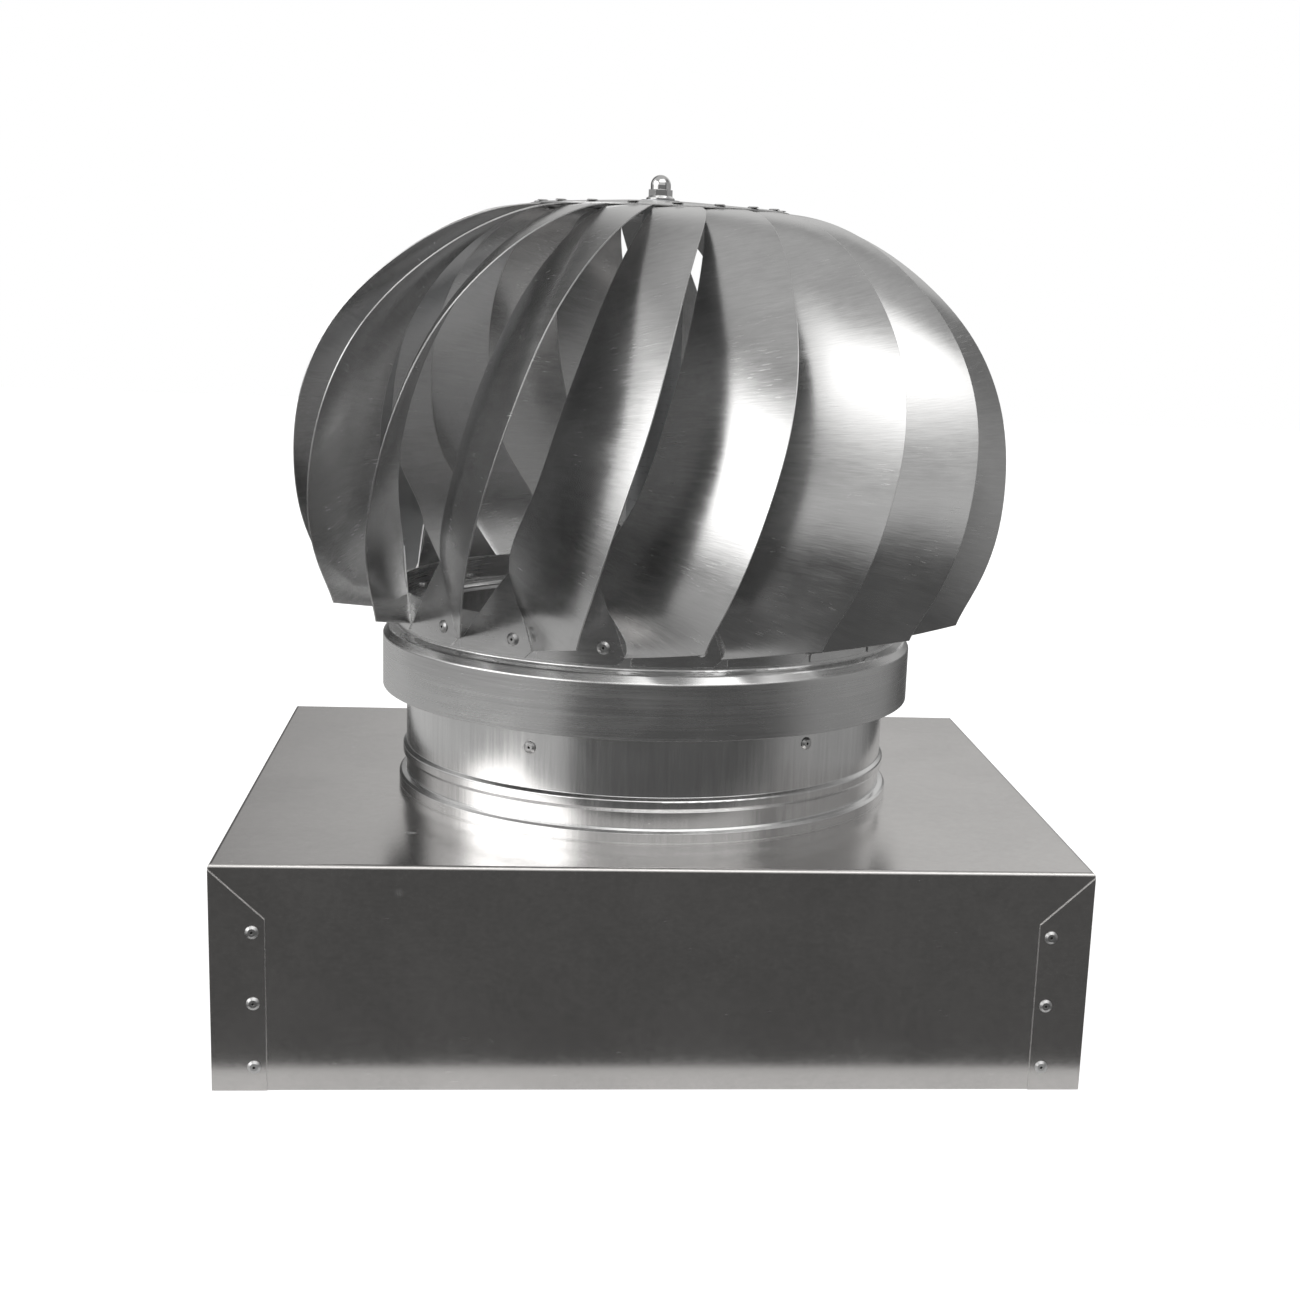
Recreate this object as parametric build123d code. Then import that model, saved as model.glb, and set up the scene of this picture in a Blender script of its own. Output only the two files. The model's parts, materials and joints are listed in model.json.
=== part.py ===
from build123d import *
import math
import os

# Roof turbine ventilator: a folded curb cap carries a fixed throat, and a
# globe of curved vanes spins on a shaft above it.  Millimetres, +Z up, the
# origin is the centre of the cap's lower rim.  Angles round the axis are
# counted counter-clockwise from the front (-Y).

# curb cap
cap_width = 508.0
cap_depth = 420.0
cap_height = 135.0
cap_sheet = 0.9
cap_bend = 2.4
tab_width = 31.0
tab_top_drop = 3.0
corner_rivet_inset = 24.0
corner_rivet_heights = (14.5, 53.0, 95.5)

# throat
throat_radius = 157.0
throat_sheet = 0.7
throat_top = cap_height + 111.6
rolled_edge_radius = 3.2
bead_low = cap_height + 18.8
bead_high = cap_height + 27.6
bead_rise = 2.2
collar_radius = throat_radius + 4.7
collar_rise = 8.5
deck_lip = 0.8

# cross braces and bearing post
bar_width = 25.0
bar_thickness = 3.0
bar_foot_drop = 16.0
lower_bar_angle = -29.0
upper_bar_angle = 35.5
lower_bar_top = cap_height + 60.0
bearing_radius = 14.0
post_radius = bearing_radius + 2.5
post_flange_radius = post_radius + 7.5
post_top = cap_height + 320.0
post_spigot_radius = 10.0
post_nut_flats = 30.0
bearing_width = 8.0
shaft_radius = 6.0
stud_radius = 4.0

# rotor ring with its rain skirt
rotor_sheet = 0.7
ring_radius = throat_radius + 5.8
ring_top = cap_height + 131.0
ledge_height = cap_height + 105.0
skirt_radius = ring_radius + 9.5
skirt_bottom = cap_height + 65.7

# vanes
vane_count = 18
vane_sheet = 0.7
foot_bottom = cap_height + 107.6
foot_left_angle = -46.6
foot_rivet_angle = -32.2
foot_rivet_height = cap_height + 118.0
crease_low_angle = -27.9
crease_low_height = cap_height + 112.6
apex_angle = -33.3
apex_height = cap_height + 159.0

# top plate and nut
plate_radius = 92.0
plate_sheet = 0.8
plate_crown = cap_height + 374.0
plate_rim = cap_height + 370.0
crown_radius = 30.0
tab_rivet_radius = plate_radius - 16.0
tab_gap = 0.95
tab_rivet_angle = 4.5
nut_top = cap_height + 390.6

# clearances between mating pieces
seat_gap = 0.03
rivet_radius = 2.2
rivet_gap = 0.05

pitch = 360.0 / vane_count
vane_root_radius = ring_radius + 0.05
plate_slope = (plate_crown - plate_rim) / (plate_radius - crown_radius)


def at(radius, angle, height):
    turn = math.radians(angle)
    return Vector(radius * math.sin(turn), -radius * math.cos(turn), height)


def outward(radius, angle, height):
    # plane whose normal points straight out from the axis at this place
    return Plane(
        origin=at(radius, angle, height),
        x_dir=at(1, angle + 90, 0),
        z_dir=at(1, angle, 0),
    )


def ring_solid(*outline):
    # closed outline of (radius, height) points turned about the axis
    return revolve(Plane.XZ * make_face(Polyline(*outline, close=True)), Axis.Z)


def sheet_ring(thickness, bend, *path):
    # centre line of (radius, height) points turned into a thin sheet ring
    line = FilletPolyline(*path, radius=bend)
    return revolve(Plane.XZ * trace(line, line_width=thickness), Axis.Z)


def pop_rivet(face_radius, angle, height, grip):
    # domed head with a centre hole outside, shank, and a blind tail inside
    head_radius = 1.75 * rivet_radius
    outline = Polyline(
        (0.0, -grip - 2.2), (rivet_radius, -grip - 1.9), (rivet_radius, 0.02),
        (head_radius, 0.02), (head_radius, 0.5), (0.6 * head_radius, 1.4),
        (0.8, 1.4), (0.8, 0.2), (0.0, 0.2), close=True,
    )
    shape = revolve(Plane.XZ * make_face(outline), Axis.Z)
    return outward(face_radius, angle, height) * shape


def rivet_hole(face_radius, angle, height):
    return outward(face_radius, angle, height) * Cylinder(rivet_radius + rivet_gap, 12)


def curb_cap():
    deck = Box(cap_width, cap_depth, cap_height, align=(Align.CENTER, Align.CENTER, Align.MIN))
    deck = fillet(deck.edges().group_by(Axis.Z)[-1], cap_bend)
    hollow = Box(
        cap_width - 2 * cap_sheet, cap_depth - 2 * cap_sheet, cap_height - cap_sheet,
        align=(Align.CENTER, Align.CENTER, Align.MIN),
    )
    shell = deck - hollow - Cylinder(throat_radius - throat_sheet - deck_lip, 3 * cap_height)
    # the side skirts wrap round onto the front and back as mitred tabs
    half = cap_width / 2
    corner = cap_height - tab_top_drop
    outline = Polyline(
        (half, 0), (half, corner), (half - tab_width, corner - tab_width + 2),
        (half - tab_width, 0), close=True,
    )
    tab = extrude(Plane.XZ.offset(cap_depth / 2 - 0.01) * make_face(outline), cap_sheet + 0.01)
    for piece in (tab, mirror(tab, Plane.YZ)):
        shell += [piece, mirror(piece, Plane.XZ)]
    for x, y in corner_places():
        for height in corner_rivet_heights:
            shell -= Pos(x, y, height) * Rot(90, 0, 0) * Cylinder(rivet_radius + rivet_gap, 8)
    return shell


def corner_places():
    x = cap_width / 2 - corner_rivet_inset
    y = cap_depth / 2
    return [(x, -y), (-x, -y), (x, y), (-x, y)]


def corner_rivets():
    rivets = []
    for x, y in corner_places():
        for height in corner_rivet_heights:
            face = y + math.copysign(cap_sheet, y)
            turn = 0 if y < 0 else 180
            place = Pos(x, face, height) * Rot(0, 0, turn)
            rivets.append(place * pop_rivet(0, 0, 0, 2 * cap_sheet))
    return Compound(children=rivets)


def throat_sleeve():
    # its foot is turned out on the deck, under the collar
    mid = throat_radius - throat_sheet / 2
    foot = cap_height + throat_sheet / 2
    wall = sheet_ring(
        throat_sheet, 0.8,
        (collar_radius, foot), (mid, foot), (mid, bead_low), (mid + bead_rise, bead_low + 2),
        (mid + bead_rise, bead_high - 2), (mid, bead_high), (mid, throat_top - 1),
    )
    roll = revolve(Plane.XZ * Pos(mid, throat_top) * Circle(rolled_edge_radius), Axis.Z)
    sleeve = wall + roll
    for angle, height in brace_rivet_places():
        sleeve -= rivet_hole(throat_radius, angle, height)
    return sleeve


def deck_collar():
    inner = throat_radius + seat_gap
    base = cap_height + throat_sheet
    top = cap_height + collar_rise
    return ring_solid(
        (inner + 0.7, base), (collar_radius, base), (collar_radius, top - 2.0),
        (collar_radius - 1.5, top - 0.6), (inner + 0.4, top), (inner, top), (inner, base + 0.7),
    )


def bar_height(level):
    return lower_bar_top + level * bar_thickness


def brace_rivet_places():
    places = []
    for level, angle in enumerate((lower_bar_angle, upper_bar_angle)):
        for side in (0, 180):
            places.append((angle + side, bar_height(level) - 0.45 * bar_foot_drop))
    return places


def brace_bar(level, angle):
    # flat bar across the throat whose ends are bent down against the wall
    reach = throat_radius - throat_sheet - 0.05
    top = bar_height(level)
    strip = Pos(0, 0, top - bar_foot_drop / 2) * Box(bar_width, 2 * reach, bar_foot_drop)
    bar = strip & (Pos(0, 0, top - bar_foot_drop / 2) * Cylinder(reach, bar_foot_drop))
    low = Pos(0, 0, top - bar_foot_drop / 2 - bar_thickness) * Box(
        2 * bar_width, 2 * (reach - bar_thickness), bar_foot_drop
    )
    bar = bar - low - Cylinder(post_spigot_radius + seat_gap, 4 * top)
    bar = Rot(0, 0, angle) * bar
    for place_angle, height in brace_rivet_places()[2 * level: 2 * level + 2]:
        bar -= rivet_hole(reach, place_angle, height)
    return bar


def brace_rivets():
    grip = throat_sheet + bar_thickness + 0.05
    return Compound(children=[
        pop_rivet(throat_radius, angle, height, grip) for angle, height in brace_rivet_places()
    ])


post_base = lower_bar_top + bar_thickness
post_floor = post_base + 5.0
lower_seat = post_floor + 3.0
upper_seat = post_top - bearing_width


def bearing_post():
    bore = bearing_radius + seat_gap / 2
    return ring_solid(
        (0, post_base - 17), (post_spigot_radius, post_base - 17), (post_spigot_radius, post_base),
        (post_flange_radius, post_base), (post_flange_radius, post_floor),
        (post_radius, post_floor), (post_radius, post_top), (bore, post_top),
        (bore, lower_seat), (bearing_radius - 2, lower_seat),
        (bearing_radius - 2, post_floor - 1), (0, post_floor - 1),
    )


def post_nut():
    top = post_base - 2 * bar_thickness
    nut = extrude(RegularPolygon(post_nut_flats / 2, 6, major_radius=False), 8)
    return Pos(0, 0, top - 8) * (nut - Cylinder(post_spigot_radius + seat_gap, 40))


def bearing_spacer():
    low = lower_seat + bearing_width
    return ring_solid(
        (bearing_radius - 1.6, low), (bearing_radius - 0.05, low),
        (bearing_radius - 0.05, upper_seat), (bearing_radius - 1.6, upper_seat),
    )


def bearing_outer(seat):
    # outer race with a shield at each end, open towards the inner race
    edge = shaft_radius + 2.6
    top = seat + bearing_width
    return ring_solid(
        (bearing_radius, seat), (bearing_radius, top), (edge, top), (edge, top - 0.7),
        (bearing_radius - 2.4, top - 0.7), (bearing_radius - 2.4, seat + 0.7),
        (edge, seat + 0.7), (edge, seat),
    )


def bearing_inner(seat):
    top = seat + bearing_width
    return ring_solid(
        (shaft_radius, seat), (shaft_radius + 2.2, seat),
        (shaft_radius + 2.2, top), (shaft_radius, top),
    )


def rotor_rim():
    half = rotor_sheet / 2
    wall = ring_radius - half
    skirt = skirt_radius - half
    rim = sheet_ring(
        rotor_sheet, 1.6,
        (wall, ring_top), (wall, ledge_height), (skirt - 3.2, ledge_height - 1.6),
        (skirt, ledge_height - 6.0), (skirt, skirt_bottom),
    )
    for step in range(vane_count):
        rim -= rivet_hole(ring_radius, foot_rivet_angle + step * pitch, foot_rivet_height)
    return rim


# Stations up the vane: its inner edge and its outer edge (radius, angle,
# height) and how far the sheet bows outwards between them.
root = vane_root_radius + 0.66
vane_stations = (
    ((root, crease_low_angle, crease_low_height), (ring_radius + 43.7, -14.3, ring_top - 7.5), 1.2),
    ((root, -30.6, ring_top + 5.0), (ring_radius + 52.6, -12.4, ring_top + 13.5), 1.8),
    ((root, apex_angle, apex_height), (ring_radius + 60.2, -10.4, ring_top + 35.0), 2.4),
    ((ring_radius + 9.6, -26.9, ring_top + 69.0), (ring_radius + 64.9, -7.0, ring_top + 77.0), 3.0),
    ((ring_radius + 9.7, -21.7, ring_top + 112.5), (ring_radius + 59.8, -3.7, ring_top + 120.0), 3.0),
    ((ring_radius - 1.6, -17.6, plate_rim - 83.0), (ring_radius + 41.7, -0.9, plate_rim - 77.0), 2.8),
    ((plate_radius + 46.7, -13.6, plate_rim - 43.0), (plate_radius + 80.0, 2.4, plate_rim - 41.0), 2.2),
    ((plate_radius + 20.0, -9.9, plate_rim - 17.4), (plate_radius + 44.0, 6.9, plate_rim - 16.4), 1.4),
    ((plate_radius - 6.0, -6.6, plate_rim - 3.4), (plate_radius + 6.0, 12.2, plate_rim - 2.8), 0.4),
    ((plate_radius - 29.0, -3.5, plate_rim - 1.0), (plate_radius - 27.0, 10.5, plate_rim - 0.2), 0.0),
)


def vane_section(index):
    # cut across the sheet at a station, drawn square to the sheet's own run:
    # two bowed lines a sheet's thickness apart
    (inner_place, outer_place, bow) = vane_stations[index]
    inner, outer = at(*inner_place), at(*outer_place)
    last = len(vane_stations) - 1
    before, after = vane_stations[max(index - 1, 0)], vane_stations[min(index + 1, last)]
    along = at(*after[0]) + at(*after[1]) - at(*before[0]) - at(*before[1])
    rise = (outer - inner).cross(along).normalized()
    crown = (inner + outer) / 2 + rise * 2 * bow
    half = rise * (vane_sheet / 2)
    return make_face([
        Bezier(inner + half, crown + half, outer + half),
        Line(outer + half, outer - half),
        Bezier(outer - half, crown - half, inner - half),
        Line(inner - half, inner + half),
    ])


def vane_foot():
    # flat of the vane that lies on the ring, cut from a thin tube
    middle = (foot_left_angle + crease_low_angle) / 2
    spots = (
        (foot_left_angle, foot_bottom), (crease_low_angle - 1.6, foot_bottom),
        (crease_low_angle + 0.3, crease_low_height - 0.6), (apex_angle + 0.3, apex_height),
        (foot_left_angle, foot_bottom + 4.0),
    )
    outline = [
        (vane_root_radius * math.sin(math.radians(angle - middle)), height)
        for angle, height in spots
    ]
    place = Plane(origin=at(140, middle, 0), x_dir=at(1, middle + 90, 0), z_dir=at(1, middle, 0))
    prism = extrude(place * make_face(Polyline(*outline, close=True)), 40)
    tube = ring_solid(
        (vane_root_radius, foot_bottom - 5), (vane_root_radius + vane_sheet, foot_bottom - 5),
        (vane_root_radius + vane_sheet, apex_height + 5), (vane_root_radius, apex_height + 5),
    )
    return tube & prism


def vane():
    shape = loft([vane_section(index) for index in range(len(vane_stations))]) + vane_foot()
    shape -= rivet_hole(ring_radius, foot_rivet_angle, foot_rivet_height)
    shape -= at_tab_rivet(Cylinder(rivet_radius + rivet_gap, 20))
    return shape.solids().sort_by(SortBy.VOLUME)[-1]


def at_tab_rivet(shape):
    return Pos(at(tab_rivet_radius, tab_rivet_angle, plate_rim + 1.2)) * shape


def foot_rivets():
    grip = rotor_sheet + vane_sheet + 0.1
    face = ring_radius + 0.05 + vane_sheet
    return Compound(children=[
        pop_rivet(face, foot_rivet_angle + step * pitch, foot_rivet_height, grip)
        for step in range(vane_count)
    ])


def plate_height(radius):
    return plate_crown - plate_slope * max(radius - crown_radius, 0)


def top_plate():
    low = -plate_sheet
    plate = ring_solid(
        (stud_radius + 0.1, plate_crown + low), (crown_radius, plate_crown + low),
        (plate_radius, plate_rim + low), (plate_radius, plate_rim),
        (crown_radius, plate_crown), (stud_radius + 0.1, plate_crown),
    )
    hole = at_tab_rivet(Cylinder(rivet_radius + rivet_gap, 20))
    for step in range(vane_count):
        plate -= Rot(0, 0, step * pitch) * hole
    return plate


def top_rivets():
    # low heads on the plate, spread tails under the vane tabs
    top = plate_height(tab_rivet_radius) + 0.26
    tail = plate_height(tab_rivet_radius) - plate_sheet - vane_sheet - tab_gap
    rivet = ring_solid(
        (0, tail - 0.8), (1.5 * rivet_radius, tail - 0.8), (1.5 * rivet_radius, tail),
        (rivet_radius, tail), (rivet_radius, top), (1.6 * rivet_radius, top),
        (1.3 * rivet_radius, top + 0.6), (0, top + 0.6),
    )
    place = at(tab_rivet_radius, tab_rivet_angle, 0)
    return Compound(children=[
        Rot(0, 0, step * pitch) * Pos(place) * rivet for step in range(vane_count)
    ])


hub_flange_top = plate_crown - plate_sheet
hub_flange_radius = 28.0
hub_boss_radius = 11.0


def top_hub():
    return ring_solid(
        (shaft_radius + seat_gap, hub_flange_top), (hub_flange_radius, hub_flange_top),
        (hub_flange_radius, hub_flange_top - 2.5), (hub_boss_radius, hub_flange_top - 2.5),
        (hub_boss_radius, hub_flange_top - 20), (shaft_radius + seat_gap, hub_flange_top - 20),
    )


def shaft():
    radius = shaft_radius - seat_gap
    low = post_floor + 0.4
    return ring_solid(
        (0, low), (radius - 0.6, low), (radius, low + 0.6), (radius, hub_flange_top),
        (stud_radius - seat_gap, hub_flange_top), (stud_radius - seat_gap, nut_top - 6),
        (0, nut_top - 6),
    )


def shaft_collar():
    bore = shaft_radius + seat_gap
    collar = ring_solid((bore, post_top), (11, post_top), (11, post_top + 9), (bore, post_top + 9))
    return collar - Pos(0, -9, post_top + 4.5) * Rot(90, 0, 0) * Cylinder(2, 8)


def retaining_ring():
    top = lower_seat
    return ring_solid(
        (shaft_radius, top - 1.2), (shaft_radius + 2.3, top - 1.2),
        (shaft_radius + 2.3, top), (shaft_radius, top),
    )


def top_washer():
    top = plate_crown + 1.2
    bore = stud_radius + 0.1
    return ring_solid((bore, plate_crown), (12, plate_crown), (12, top), (bore, top))


def acorn_nut():
    base = plate_crown + 1.2
    bore = stud_radius
    dome = 6.3
    flange = ring_solid((bore, base), (8.9, base), (8.9, base + 1.2), (6.9, base + 2.6), (bore, base + 2.6))
    flats = extrude(RegularPolygon(6.5, 6, major_radius=False), 4.4)
    hexagon = Pos(0, 0, base + 2.0) * (flats - Cylinder(bore, 20))
    cap = revolve(Plane.XZ * make_face([
        Polyline((bore, base + 2.0), (dome, base + 2.0), (dome, nut_top - dome)),
        ThreePointArc(
            (dome, nut_top - dome), (dome * math.sin(math.pi / 4), nut_top - dome + dome * math.cos(math.pi / 4)),
            (0, nut_top),
        ),
        Polyline((0, nut_top), (0, nut_top - 5), (bore, nut_top - 5), (bore, base + 2.0)),
    ]), Axis.Z)
    return flange + hexagon + cap


def build_all():
    parts = {
        "curb_cap": curb_cap(),
        "corner_rivets": corner_rivets(),
        "deck_collar": deck_collar(),
        "throat_sleeve": throat_sleeve(),
        "brace_bar_lower": brace_bar(0, lower_bar_angle),
        "brace_bar_upper": brace_bar(1, upper_bar_angle),
        "brace_rivets": brace_rivets(),
        "bearing_post": bearing_post(),
        "post_nut": post_nut(),
        "bearing_spacer": bearing_spacer(),
        "lower_bearing_outer": bearing_outer(lower_seat),
        "lower_bearing_inner": bearing_inner(lower_seat),
        "upper_bearing_outer": bearing_outer(upper_seat),
        "upper_bearing_inner": bearing_inner(upper_seat),
        "rotor_rim": rotor_rim(),
        "foot_rivets": foot_rivets(),
        "top_plate": top_plate(),
        "top_rivets": top_rivets(),
        "top_hub": top_hub(),
        "shaft": shaft(),
        "shaft_collar": shaft_collar(),
        "retaining_ring": retaining_ring(),
        "top_washer": top_washer(),
        "acorn_nut": acorn_nut(),
    }
    blade = vane()
    for step in range(vane_count):
        parts[f"vane_{step + 1:02d}"] = Rot(0, 0, step * pitch) * blade
    return parts


if __name__ == "__main__":
    os.makedirs("parts", exist_ok=True)
    for name, shape in build_all().items():
        export_step(shape, f"parts/{name}.step")
        print(name, round(shape.volume, 1))
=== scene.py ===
import json
import bpy
import numpy as np
from mathutils import Matrix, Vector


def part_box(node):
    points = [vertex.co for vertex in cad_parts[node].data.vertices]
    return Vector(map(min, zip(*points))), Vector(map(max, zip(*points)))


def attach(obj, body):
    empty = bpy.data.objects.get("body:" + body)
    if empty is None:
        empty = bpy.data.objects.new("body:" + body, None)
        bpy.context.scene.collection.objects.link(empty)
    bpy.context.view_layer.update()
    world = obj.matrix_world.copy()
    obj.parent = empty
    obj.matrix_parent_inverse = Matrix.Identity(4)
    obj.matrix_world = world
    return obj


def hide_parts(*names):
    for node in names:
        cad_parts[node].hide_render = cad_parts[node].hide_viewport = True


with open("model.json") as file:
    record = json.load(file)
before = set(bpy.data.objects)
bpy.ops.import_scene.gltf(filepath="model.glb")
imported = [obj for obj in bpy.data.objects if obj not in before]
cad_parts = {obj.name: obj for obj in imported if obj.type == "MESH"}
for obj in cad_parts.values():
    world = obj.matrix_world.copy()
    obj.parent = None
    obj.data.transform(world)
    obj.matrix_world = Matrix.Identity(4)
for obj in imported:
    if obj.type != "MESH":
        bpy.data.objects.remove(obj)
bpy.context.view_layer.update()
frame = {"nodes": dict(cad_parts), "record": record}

nodes = frame["nodes"]
slotOf = {part["node"]: part["material_slot"] for part in frame["record"]["subparts"]}
print("frame loaded:", len(nodes), "nodes")

# Camera: a level studio tripod in front of the ventilator, tipped down a little.
cameraPlan = {
    "place": (-0.0753, -1.2897, 0.4615),
    "yaw": 0.107,
    "pitch": 0.2345,
    "roll": 0.0412,
    "lens": 54.73,
    "shift": (-0.0673, 0.0813),
}


def makeCamera(plan):
    # The forward line turns by yaw about +Z and dips by pitch; roll then turns the
    # level right and up lines about it.
    yaw, pitch, roll = plan["yaw"], plan["pitch"], plan["roll"]
    ahead = np.array([np.sin(yaw) * np.cos(pitch), np.cos(yaw) * np.cos(pitch), -np.sin(pitch)])
    levelRight = np.array([np.cos(yaw), -np.sin(yaw), 0.0])
    levelUp = np.cross(levelRight, ahead)
    right = np.cos(roll) * levelRight + np.sin(roll) * levelUp
    up = -np.sin(roll) * levelRight + np.cos(roll) * levelUp
    turn = np.eye(4)
    turn[:3, :3] = np.stack([right, up, -ahead], axis=1)
    turn[:3, 3] = plan["place"]
    data = bpy.data.cameras.new("studioCamera")
    data.lens = plan["lens"]
    data.sensor_width = 36.0
    data.shift_x, data.shift_y = plan["shift"]
    data.clip_start = 0.01
    camera = bpy.data.objects.new("studioCamera", data)
    camera.matrix_world = Matrix(turn.tolist())
    bpy.context.scene.collection.objects.link(camera)
    bpy.context.scene.camera = camera


# A node in a tree: an input that is a socket is linked, any other value is set.
def addNode(tree, kind, settings=None, inputs=None):
    node = tree.nodes.new(kind)
    for name, value in (settings or {}).items():
        setattr(node, name, value)
    for key, value in (inputs or {}).items():
        if isinstance(value, bpy.types.NodeSocket):
            tree.links.new(value, node.inputs[key])
        else:
            node.inputs[key].default_value = value
    return node


def calc(tree, operation, first, second=0.0):
    # One number from one or two, by the named rule.
    node = addNode(tree, "ShaderNodeMath", {"operation": operation})
    for index, value in enumerate((first, second)):
        if isinstance(value, bpy.types.NodeSocket):
            tree.links.new(value, node.inputs[index])
        else:
            node.inputs[index].default_value = value
    return node.outputs[0]


def ramp(tree, value, fromLow, fromHigh, toLow=0.0, toHigh=1.0, smooth=True):
    # A number carried from one range to another along a smooth or straight step.
    kind = "SMOOTHSTEP" if smooth else "LINEAR"
    node = addNode(tree, "ShaderNodeMapRange", {"interpolation_type": kind, "clamp": True},
                   {0: value, 1: fromLow, 2: fromHigh, 3: toLow, 4: toHigh})
    return node.outputs[0]


def noise(tree, vector, scale, detail=2.0, roughness=0.5, distortion=0.0):
    # Cloudy noise between 0 and 1, summed over octaves that halve in size.
    node = addNode(tree, "ShaderNodeTexNoise", {"noise_dimensions": "3D"},
                   {"Vector": vector, "Scale": scale, "Detail": detail,
                    "Roughness": roughness, "Distortion": distortion})
    return node.outputs["Fac"]


def stretch(tree, vector, amounts):
    # The vector times an amount along each of its three lines.
    node = addNode(tree, "ShaderNodeVectorMath", {"operation": "MULTIPLY"},
                   {0: vector, 1: amounts})
    return node.outputs[0]


def newGroup(name, inputs, outputs):
    # An empty group with its named sockets: (name, kind, start value).
    group = bpy.data.node_groups.new(name, "ShaderNodeTree")
    for label, kind, start in inputs:
        socket = group.interface.new_socket(name=label, in_out="INPUT", socket_type=kind)
        if start is not None:
            socket.default_value = start
    for label, kind in outputs:
        group.interface.new_socket(name=label, in_out="OUTPUT", socket_type=kind)
    return group, group.nodes.new("NodeGroupInput"), group.nodes.new("NodeGroupOutput")


def useGroup(tree, group, inputs):
    # One placed copy of a group with its own values.
    node = tree.nodes.new("ShaderNodeGroup")
    node.node_tree = group
    for key, value in inputs.items():
        if isinstance(value, bpy.types.NodeSocket):
            tree.links.new(value, node.inputs[key])
        else:
            node.inputs[key].default_value = value
    return node


# Studio: soft panels as patches of light in the world, each by its middle azimuth
# (0 at the front, minus to the left), middle elevation, half sizes, edge and level.
studio = {
    "white": 1.0,
    "dim": 0.05,
    "below": 0.09,
    "panels": {
        "leftPanel": (-64.0, 20.0, 27.0, 17.0, 20.0, 2.3),
        "farLeftPanel": (-104.0, 24.0, 24.0, 20.0, 24.0, 0.6),
        "frontTopPanel": (20.0, 47.0, 46.0, 16.0, 26.0, 1.7),
        "backSheet": (160.0, 24.0, 30.0, 17.0, 24.0, 0.62),
        "ceiling": (0.0, 90.0, 180.0, 46.0, 36.0, 0.42),
        "leftFloor": (-78.0, -14.0, 40.0, 8.0, 12.0, 0.35),
        "backFloor": (-158.0, -14.0, 40.0, 10.0, 16.0, 0.4),
        "frontWall": (0.0, 14.0, 50.0, 8.0, 16.0, 0.58),
        "rightWall": (96.0, 6.0, 34.0, 24.0, 30.0, 0.26),
    },
}


def makeWorld(plan):
    # Azimuth is the angle of the ray's level part from the front, elevation the arc
    # sine of its height. A panel's light is one smooth step across each, multiplied.
    world = bpy.data.worlds.new("studioWorld")
    bpy.context.scene.world = world
    world.use_nodes = True
    tree = world.node_tree
    tree.nodes.clear()
    ray = addNode(tree, "ShaderNodeTexCoord").outputs["Generated"]
    unit = addNode(tree, "ShaderNodeVectorMath", {"operation": "NORMALIZE"}, {0: ray}).outputs[0]
    height = addNode(tree, "ShaderNodeSeparateXYZ", None, {0: unit}).outputs["Z"]
    elevation = calc(tree, "ARCSINE", height)
    flat = stretch(tree, unit, (1.0, 1.0, 0.0))
    level = addNode(tree, "ShaderNodeVectorMath", {"operation": "NORMALIZE"}, {0: flat}).outputs[0]
    total = ramp(tree, elevation, np.radians(-12.0), np.radians(4.0), plan["below"], plan["dim"])
    for azimuth, middle, halfWide, halfHigh, edge, power in plan["panels"].values():
        turn = np.radians(azimuth)
        toward = addNode(tree, "ShaderNodeVectorMath", {"operation": "DOT_PRODUCT"},
                         {0: level, 1: (np.sin(turn), -np.cos(turn), 0.0)}).outputs["Value"]
        away = calc(tree, "ARCCOSINE", calc(tree, "MINIMUM", toward, 0.999999))
        offset = calc(tree, "ABSOLUTE", calc(tree, "SUBTRACT", elevation, np.radians(middle)))
        half = edge / 2
        across = ramp(tree, away, np.radians(halfWide + half), np.radians(halfWide - half))
        if halfWide >= 180.0:
            across = 1.0
        upward = ramp(tree, offset, np.radians(halfHigh + half), np.radians(halfHigh - half))
        patch = calc(tree, "MULTIPLY", calc(tree, "MULTIPLY", across, upward), power)
        total = calc(tree, "ADD", total, patch)
    total = calc(tree, "MAXIMUM", total, 0.0)
    light = addNode(tree, "ShaderNodeBackground", None,
                    {"Color": (1.0, 0.995, 0.985, 1.0), "Strength": total})
    seen = addNode(tree, "ShaderNodeBackground", None,
                   {"Color": (1.0, 1.0, 1.0, 1.0), "Strength": plan["white"]})
    path = addNode(tree, "ShaderNodeLightPath").outputs["Is Camera Ray"]
    mix = addNode(tree, "ShaderNodeMixShader", None,
                  {0: path, 1: light.outputs[0], 2: seen.outputs[0]})
    out = addNode(tree, "ShaderNodeOutputWorld")
    tree.links.new(mix.outputs[0], out.inputs["Surface"])


# Floor: one pale sheet, and a pad a little larger than the cap that shows in its front.
floorPlan = {
    "half": 6.0,
    "glow": 0.86,
    "tone": 0.55,
    "height": -0.0006,
    "padReach": 0.035,
    "padTone": 0.5,
    "padGlow": 0.25,
    "padHeight": -0.0004,
}


def makeFlat(name, low, high, height, material):
    # A flat rectangle from its low and high corners at one height.
    mesh = bpy.data.meshes.new(name)
    corners = [(low[0], low[1], height), (high[0], low[1], height),
               (high[0], high[1], height), (low[0], high[1], height)]
    mesh.from_pydata(corners, [], [(0, 1, 2, 3)])
    mesh.materials.append(material)
    flat = bpy.data.objects.new(name, mesh)
    bpy.context.scene.collection.objects.link(flat)
    return flat


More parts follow.
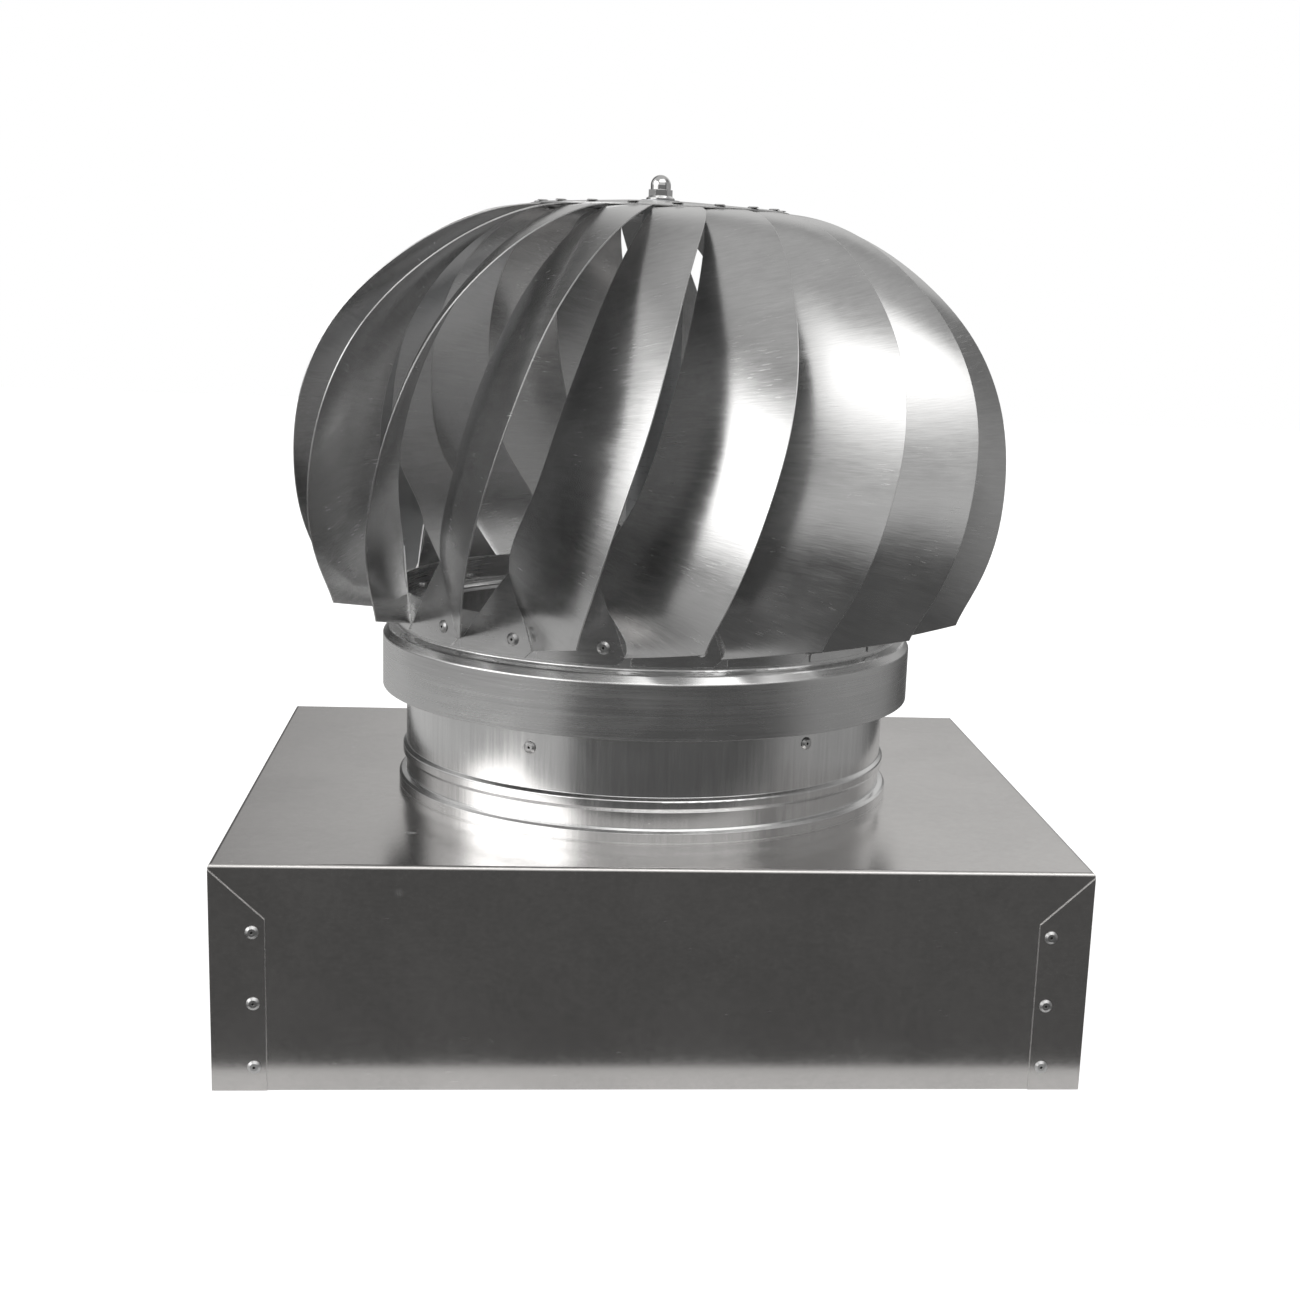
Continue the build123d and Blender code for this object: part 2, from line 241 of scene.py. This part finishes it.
def makeFloorMaterial(name, tone, glow):
    # Matte paper: the light it scatters plus an even glow of its own.
    material = bpy.data.materials.new(name)
    material.use_nodes = True
    tree = material.node_tree
    tree.nodes.clear()
    matte = addNode(tree, "ShaderNodeBsdfDiffuse", None, {"Color": (tone, tone, tone, 1.0)})
    edgeHighlight = addNode(tree, "ShaderNodeEmission", None,
                    {"Color": (1.0, 1.0, 1.0, 1.0), "Strength": glow})
    both = addNode(tree, "ShaderNodeAddShader", None,
                   {0: matte.outputs[0], 1: edgeHighlight.outputs[0]})
    out = addNode(tree, "ShaderNodeOutputMaterial")
    tree.links.new(both.outputs[0], out.inputs["Surface"])
    return material


def makeFloor(plan):
    # The floor is a square round the origin, the pad the cap's outline grown by its reach.
    half = plan["half"]
    floor = makeFlat("studioFloor", (-half, -half), (half, half), plan["height"],
                     makeFloorMaterial("floorPaper", plan["tone"], plan["glow"]))
    floor.visible_glossy = False
    low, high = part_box("curb_cap")
    reach = plan["padReach"]
    pad = makeFlat("standPad", (low[0] - reach, low[1] - reach),
                   (high[0] + reach, high[1] + reach), plan["padHeight"],
                   makeFloorMaterial("padPaper", plan["padTone"], plan["padGlow"]))
    pad.visible_camera = False
    pad.visible_diffuse = False
    pad.visible_shadow = False


def length(tree, first, second):
    # The long side over two short ones: the root of the sum of their squares.
    squares = [calc(tree, "MULTIPLY", side, side) for side in (first, second)]
    return calc(tree, "SQRT", calc(tree, "ADD", *squares))


# Shared surface effects.
def makeRoundGroup():
    # Wraps a place round the axis: (angle from the front times a girth, height, radius).
    group, given, out = newGroup(
        "roundPlace",
        [("Vector", "NodeSocketVector", None), ("Girth", "NodeSocketFloat", 0.16)],
        [("Place", "NodeSocketVector")])
    x, y, z = addNode(group, "ShaderNodeSeparateXYZ", None, {0: given.outputs["Vector"]}).outputs
    angle = calc(group, "ARCTAN2", x, calc(group, "MULTIPLY", y, -1.0))
    radius = length(group, x, y)
    arc = calc(group, "MULTIPLY", angle, given.outputs["Girth"])
    joined = addNode(group, "ShaderNodeCombineXYZ", None, {0: arc, 1: z, 2: radius})
    group.links.new(joined.outputs[0], out.inputs["Place"])
    return group


def makeFoldedGroup():
    # Opens a folded tray flat: on the deck and the long walls, along is x and across is y
    # plus z; on the end walls, where the grain runs up the wall, along gains z instead.
    group, given, out = newGroup(
        "foldedPlace",
        [("Vector", "NodeSocketVector", None), ("Facing", "NodeSocketVector", None)],
        [("Place", "NodeSocketVector")])
    x, y, z = addNode(group, "ShaderNodeSeparateXYZ", None, {0: given.outputs["Vector"]}).outputs
    faceX = addNode(group, "ShaderNodeSeparateXYZ", None, {0: given.outputs["Facing"]}).outputs["X"]
    ends = calc(group, "GREATER_THAN", calc(group, "ABSOLUTE", faceX), 0.7)
    along = calc(group, "ADD", x, calc(group, "MULTIPLY", z, ends))
    rise = calc(group, "MULTIPLY", z, calc(group, "SUBTRACT", 1.0, ends))
    across = calc(group, "ADD", y, rise)
    joined = addNode(group, "ShaderNodeCombineXYZ", None, {0: along, 1: across, 2: 0.0})
    group.links.new(joined.outputs[0], out.inputs["Place"])
    return group


def makeEdgeGroup():
    # A cut or folded edge is taken as rounded: the normal is the bevelled one, and the
    # edge mask grows as that normal leaves the flat one.
    group, given, out = newGroup(
        "softEdge",
        [("Facing", "NodeSocketVector", None), ("Radius", "NodeSocketFloat", 0.0004)],
        [("Normal", "NodeSocketVector"), ("Edge", "NodeSocketFloat")])
    bevel = addNode(group, "ShaderNodeBevel", {"samples": 4}, {"Radius": given.outputs["Radius"]})
    same = addNode(group, "ShaderNodeVectorMath", {"operation": "DOT_PRODUCT"},
                   {0: bevel.outputs[0], 1: given.outputs["Facing"]}).outputs["Value"]
    group.links.new(bevel.outputs[0], out.inputs["Normal"])
    group.links.new(ramp(group, same, 0.995, 0.8), out.inputs["Edge"])
    return group


def makeCreviceGroup():
    # Painted shade where little light gets in: the mask grows as the open share of a small
    # half ball over the surface falls.
    group, given, out = newGroup("crevice", [("Reach", "NodeSocketFloat", 0.002)],
                                 [("Painted Shade", "NodeSocketFloat")])
    shade = addNode(group, "ShaderNodeAmbientOcclusion", {"samples": 6},
                    {"Distance": given.outputs["Reach"]})
    group.links.new(ramp(group, shade.outputs["AO"], 0.75, 0.2), out.inputs["Painted Shade"])
    return group


def makeGlobeGroup():
    # Wraps a place round the globe: (angle round the axis times a girth, angle up from
    # the globe's middle times the girth, distance from that middle).
    group, given, out = newGroup(
        "globePlace",
        [("Vector", "NodeSocketVector", None), ("Girth", "NodeSocketFloat", 0.2),
         ("Middle", "NodeSocketFloat", 0.36)],
        [("Place", "NodeSocketVector")])
    x, y, z = addNode(group, "ShaderNodeSeparateXYZ", None, {0: given.outputs["Vector"]}).outputs
    angle = calc(group, "ARCTAN2", x, calc(group, "MULTIPLY", y, -1.0))
    radius = length(group, x, y)
    rise = calc(group, "SUBTRACT", z, given.outputs["Middle"])
    tilt = calc(group, "ARCTAN2", rise, radius)
    far = length(group, rise, radius)
    joined = addNode(group, "ShaderNodeCombineXYZ", None,
                     {0: calc(group, "MULTIPLY", angle, given.outputs["Girth"]),
                      1: calc(group, "MULTIPLY", tilt, given.outputs["Girth"]), 2: far})
    group.links.new(joined.outputs[0], out.inputs["Place"])
    return group


def makeGrainGroup():
    # Rolling lines of mill sheet: noise stretched along the grain, fine and coarse, with
    # a slow cloudiness and broken scratches kept where a second noise is high.
    group, given, out = newGroup(
        "sheetGrain",
        [("Place", "NodeSocketVector", None), ("Along", "NodeSocketFloat", 30.0),
         ("Across", "NodeSocketFloat", 900.0), ("Cloud Size", "NodeSocketFloat", 14.0),
         ("Scratch Cut", "NodeSocketFloat", 0.66)],
        [("Lines", "NodeSocketFloat"), ("Cloud", "NodeSocketFloat"),
         ("Scratches", "NodeSocketFloat")])
    place, along = given.outputs["Place"], given.outputs["Along"]
    spread = addNode(group, "ShaderNodeCombineXYZ", None,
                     {0: along, 1: given.outputs["Across"], 2: along}).outputs[0]
    fine = noise(group, stretch(group, place, spread), 1.0, 3.0, 0.6)
    wide = stretch(group, place, (0.45, 0.28, 0.45))
    broad = noise(group, stretch(group, wide, spread), 1.0, 2.0, 0.5)
    lines = calc(group, "ADD", calc(group, "MULTIPLY", fine, 0.6), calc(group, "MULTIPLY", broad, 0.4))
    group.links.new(ramp(group, lines, 0.3, 0.7, smooth=False), out.inputs["Lines"])
    cloud = noise(group, place, given.outputs["Cloud Size"], 4.0, 0.55, 0.4)
    group.links.new(ramp(group, cloud, 0.3, 0.7), out.inputs["Cloud"])
    tilted = addNode(group, "ShaderNodeMapping", {"vector_type": "POINT"},
                     {0: place, 2: (0.0, 0.0, 0.16), 3: (110.0, 1500.0, 110.0)}).outputs[0]
    marks = noise(group, tilted, 1.0, 1.0, 0.4, 0.25)
    patches = ramp(group, noise(group, place, 32.0, 2.0, 0.5), 0.5, 0.68)
    cut = given.outputs["Scratch Cut"]
    kept = calc(group, "MULTIPLY", ramp(group, marks, cut, calc(group, "ADD", cut, 0.07)), patches)
    group.links.new(kept, out.inputs["Scratches"])
    return group


def makeDentGroup():
    # A small dimple: one in its middle and a smooth step down to nothing at its rim,
    # in a space squeezed so that the rim is an ellipse.
    group, given, out = newGroup(
        "dent",
        [("Vector", "NodeSocketVector", None), ("Middle", "NodeSocketVector", None),
         ("Size", "NodeSocketVector", None)],
        [("Depth", "NodeSocketFloat")])
    away = addNode(group, "ShaderNodeVectorMath", {"operation": "SUBTRACT"},
                   {0: given.outputs["Vector"], 1: given.outputs["Middle"]}).outputs[0]
    share = addNode(group, "ShaderNodeVectorMath", {"operation": "DIVIDE"},
                    {0: away, 1: given.outputs["Size"]}).outputs[0]
    far = addNode(group, "ShaderNodeVectorMath", {"operation": "LENGTH"},
                  {0: share}).outputs["Value"]
    group.links.new(ramp(group, far, 1.0, 0.25), out.inputs["Depth"])
    return group


def makeMetal(name, metal):
    # A metal's shader with its fixed values; the caller links what changes over it.
    material = bpy.data.materials.new(name)
    material.use_nodes = True
    tree = material.node_tree
    tree.nodes.clear()
    shader = addNode(tree, "ShaderNodeBsdfPrincipled", None,
                     {"Metallic": 1.0, "Base Color": (*metal["colour"], 1.0),
                      "Roughness": metal["roughness"]})
    out = addNode(tree, "ShaderNodeOutputMaterial")
    tree.links.new(shader.outputs[0], out.inputs["Surface"])
    place = addNode(tree, "ShaderNodeTexCoord").outputs["Object"]
    facing = addNode(tree, "ShaderNodeNewGeometry").outputs["Normal"]
    return material, tree, shader, place, facing


def tint(tree, colour, amount, low, high):
    # The colour times a number that runs from low to high as the amount goes 0 to 1.
    scale = ramp(tree, amount, 0.0, 1.0, low, high, smooth=False)
    node = addNode(tree, "ShaderNodeVectorMath", {"operation": "SCALE"},
                   {0: colour, "Scale": scale})
    return node.outputs[0]


def addBump(tree, shader, height, distance, normal):
    # Tips the normal down the slope of height times distance.
    bump = addNode(tree, "ShaderNodeBump", None,
                   {"Height": height, "Distance": distance, "Normal": normal})
    tree.links.new(bump.outputs[0], shader.inputs["Normal"])


roundGroup = makeRoundGroup()
foldedGroup = makeFoldedGroup()
edgeGroup = makeEdgeGroup()
creviceGroup = makeCreviceGroup()
globeGroup = makeGlobeGroup()
grainGroup = makeGrainGroup()
dentGroup = makeDentGroup()
print("groups made")


# Every sheet finish: colour, roughness range, grain spacing and bump heights in metres.
sheetFinishes = {
    "cap_sheet": {
        "colour": (0.665, 0.65, 0.64), "roughness": 0.2, "spread": 0.08, "tones": 0.11,
        "along": 300.0, "across": 420.0, "cloud": 11.0, "bump": 0.000004,
        "scratch": 0.72, "edge": 0.0007, "edgeHighlight": 0.3, "wrap": "folded",
        "marks": (((-0.1458, -0.1416, 0.135), (0.0045, 0.0035, 0.002), 0.9),
                  ((-0.1482, -0.210, 0.1192), (0.0035, 0.003, 0.0035), 0.35)),
        "scuffs": (((-0.122, -0.210, 0.078), (0.036, 0.01, 0.062), 0.09),
                   ((0.040, -0.210, 0.030), (0.060, 0.01, 0.030), 0.04)),
    },
    "throat_sheet": {
        "colour": (0.83, 0.83, 0.83), "roughness": 0.2, "spread": 0.10, "tones": 0.12,
        "along": 620.0, "across": 26.0, "cloud": 16.0, "bump": 0.000010,
        "scratch": 0.72, "edge": 0.0004, "edgeHighlight": 0.6, "wrap": "round",
    },
    "rotor_sheet": {
        "colour": (0.72, 0.72, 0.72), "roughness": 0.27, "spread": 0.14, "tones": 0.14,
        "along": 20.0, "across": 1300.0, "cloud": 18.0, "bump": 0.000014,
        "scratch": 0.70, "edge": 0.0004, "edgeHighlight": 0.6, "wrap": "round",
    },
    "vane_sheet": {
        "colour": (0.68, 0.68, 0.68), "roughness": 0.22, "spread": 0.12, "tones": 0.12,
        "along": 90.0, "across": 1100.0, "cloud": 24.0, "bump": 0.000014,
        "scratch": 0.67, "edge": 0.0005, "edgeHighlight": 1.0, "wrap": "globe",
    },
}


def makeSheet(name, finish):
    # Mill sheet: roughness and colour run over their ranges with six parts lines and four
    # parts cloud. The greatest of scratches, marks and a painted highlight along the edges
    # makes them lighter and rougher, and lines, scratches and marks add up to the height of a very low
    # bump.
    material, tree, shader, place, facing = makeMetal(name, finish)
    if finish["wrap"] == "folded":
        spread = useGroup(tree, foldedGroup, {"Vector": place, "Facing": facing}).outputs["Place"]
    elif finish["wrap"] == "round":
        spread = useGroup(tree, roundGroup, {"Vector": place}).outputs["Place"]
    else:
        spread = useGroup(tree, globeGroup, {"Vector": place}).outputs["Place"]
    cut = finish["scratch"]
    marks = 0.0
    for middle, size, level in finish.get("marks", ()):
        mark = useGroup(tree, dentGroup,
                        {"Vector": place, "Middle": middle, "Size": size}).outputs["Depth"]
        marks = calc(tree, "ADD", marks, calc(tree, "MULTIPLY", mark, level))
    for middle, size, level in finish.get("scuffs", ()):
        scuff = useGroup(tree, dentGroup,
                         {"Vector": place, "Middle": middle, "Size": size}).outputs["Depth"]
        cut = calc(tree, "SUBTRACT", cut, calc(tree, "MULTIPLY", scuff, level))
    grain = useGroup(tree, grainGroup,
                     {"Place": spread, "Along": finish["along"], "Across": finish["across"],
                      "Cloud Size": finish["cloud"], "Scratch Cut": cut})
    lines, cloud, scratches = grain.outputs
    edge = useGroup(tree, edgeGroup, {"Facing": facing, "Radius": finish["edge"]})
    mixed = calc(tree, "ADD", calc(tree, "MULTIPLY", lines, 0.6), calc(tree, "MULTIPLY", cloud, 0.4))
    low = finish["roughness"] - finish["spread"] / 2
    rough = ramp(tree, mixed, 0.0, 1.0, low, low + finish["spread"], smooth=False)
    scraped = calc(tree, "MULTIPLY", scratches, 0.4)
    # Painted highlight: along cut and folded edges the edge mask, times each finish's edge level, lifts
    # the colour towards near white.
    paintedEdgeHighlight = calc(tree, "MULTIPLY", edge.outputs["Edge"], finish["edgeHighlight"])
    light = calc(tree, "MAXIMUM", calc(tree, "MAXIMUM", scraped, paintedEdgeHighlight), marks)
    rough = calc(tree, "ADD", rough, calc(tree, "MULTIPLY", light, 0.25))
    tree.links.new(rough, shader.inputs["Roughness"])
    tone = tint(tree, finish["colour"], mixed, 1.0 - finish["tones"], 1.0 + finish["tones"])
    wornAndHighlit = addNode(tree, "ShaderNodeMix", {"data_type": "RGBA"},
                  {0: light, 6: tone, 7: (0.95, 0.95, 0.95, 1.0)})
    tree.links.new(wornAndHighlit.outputs[2], shader.inputs["Base Color"])
    raised = calc(tree, "ADD", lines, calc(tree, "MULTIPLY", scratches, 0.8))
    raised = calc(tree, "ADD", raised, calc(tree, "MULTIPLY", marks, 30.0))
    addBump(tree, shader, raised, finish["bump"], edge.outputs["Normal"])
    return material


# Every small part's finish: colour, roughness, speckle spacing and bump height in metres.
smallFinishes = {
    "rivets": {"colour": (0.62, 0.62, 0.62), "roughness": 0.32, "size": 900.0, "bump": 0.00001},
    "zinc_steel": {"colour": (0.58, 0.59, 0.61), "roughness": 0.34, "size": 260.0, "bump": 0.00001},
    "post_metal": {"colour": (0.55, 0.56, 0.57), "roughness": 0.32, "size": 500.0, "bump": 0.000008},
    "bearing_steel": {"colour": (0.60, 0.61, 0.62), "roughness": 0.2, "size": 700.0, "bump": 0.000004},
    "nut_chrome": {"colour": (0.86, 0.86, 0.86), "roughness": 0.07, "size": 500.0, "bump": 0.000002},
}


def makeSmall(name, finish):
    # Turned and plated parts: roughness and colour run with equal parts of fine rings
    # round the axis and a speckle, and painted shade darkens the colour in the corners.
    material, tree, shader, place, facing = makeMetal(name, finish)
    edge = useGroup(tree, edgeGroup, {"Facing": facing, "Radius": 0.0004})
    wrapped = useGroup(tree, roundGroup, {"Vector": place, "Girth": 0.02}).outputs["Place"]
    grain = useGroup(tree, grainGroup,
                     {"Place": wrapped, "Along": 60.0, "Across": 2600.0, "Cloud Size": 60.0,
                      "Scratch Cut": 0.74})
    speckle = noise(tree, place, finish["size"], 2.0, 0.6)
    mixed = calc(tree, "ADD", calc(tree, "MULTIPLY", grain.outputs["Lines"], 0.5),
                 calc(tree, "MULTIPLY", speckle, 0.5))
    low, high = finish["roughness"] * 0.75, finish["roughness"] * 1.3
    rough = ramp(tree, mixed, 0.2, 0.8, low, high, smooth=False)
    tree.links.new(rough, shader.inputs["Roughness"])
    paintedShade = useGroup(tree, creviceGroup, {"Reach": 0.0022}).outputs["Painted Shade"]
    tone = tint(tree, finish["colour"], mixed, 0.88, 1.12)
    # Painted shade: the colour is mixed towards near black as the ambient occlusion mask grows.
    shadedTone = addNode(tree, "ShaderNodeMix", {"data_type": "RGBA"},
                   {0: paintedShade, 6: tone, 7: (0.05, 0.048, 0.045, 1.0)})
    tree.links.new(shadedTone.outputs[2], shader.inputs["Base Color"])
    addBump(tree, shader, mixed, finish["bump"], edge.outputs["Normal"])
    return material


materials = {name: makeSheet(name, finish) for name, finish in sheetFinishes.items()}
materials.update({name: makeSmall(name, finish) for name, finish in smallFinishes.items()})
for name, piece in nodes.items():
    piece.data.materials.clear()
    piece.data.materials.append(materials[slotOf[name]])
print("materials made:", len(materials))

# Top plate: a shallow cone over the vane tabs with its rim curled down onto them.
topPlate = {"hole": 0.0061, "crown": 0.030, "rim": 0.0815, "high": 0.509, "slope": 0.0645,
            "sheet": 0.0008, "curl": 0.0006, "curlReach": 0.004, "steps": 160, "rings": 14,
            "sharpAngle": 40.0}


def makeTopPlate(plan):
    # A profile turned about the axis: flat to the crown radius, then falling by the
    # slope to the rim, with the last few millimetres bent down by one less a cosine.
    share = np.linspace(0.0, 1.0, plan["rings"])
    radius = np.concatenate([[plan["hole"]], plan["crown"] + (plan["rim"] - plan["crown"]) * share])
    height = plan["high"] - plan["slope"] * np.maximum(radius - plan["crown"], 0.0)
    bend = np.clip((radius - plan["rim"] + plan["curlReach"]) / plan["curlReach"], 0.0, 1.0)
    height = height - plan["curl"] * (1.0 - np.cos(bend * np.pi / 2))
    radius = np.concatenate([radius, radius[::-1]])
    height = np.concatenate([height, height[::-1] - plan["sheet"]])
    angle = np.linspace(0.0, 2 * np.pi, plan["steps"], endpoint=False)
    points = np.stack([np.outer(np.cos(angle), radius), np.outer(np.sin(angle), radius),
                       np.broadcast_to(height, (len(angle), len(height)))], axis=2).reshape(-1, 3)
    around, along = np.meshgrid(np.arange(len(angle)), np.arange(len(radius)), indexing="ij")
    nextAround, nextAlong = (around + 1) % len(angle), (along + 1) % len(radius)
    count = len(radius)
    quads = np.stack([around * count + along, around * count + nextAlong,
                      nextAround * count + nextAlong, nextAround * count + along], axis=2).reshape(-1, 4)
    mesh = bpy.data.meshes.new("topPlateSheet")
    mesh.from_pydata(points.tolist(), [], quads.tolist())
    mesh.materials.append(materials["rotor_sheet"])
    mesh.shade_smooth()
    mesh.set_sharp_from_angle(angle=np.radians(plan["sharpAngle"]))
    plate = bpy.data.objects.new("topPlateSheet", mesh)
    bpy.context.scene.collection.objects.link(plate)
    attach(plate, "rotor")
    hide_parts("top_plate")


makeTopPlate(topPlate)
print("top plate made")

makeCamera(cameraPlan)
makeWorld(studio)
makeFloor(floorPlan)
bpy.context.scene.view_settings.view_transform = "Standard"
print("studio made")
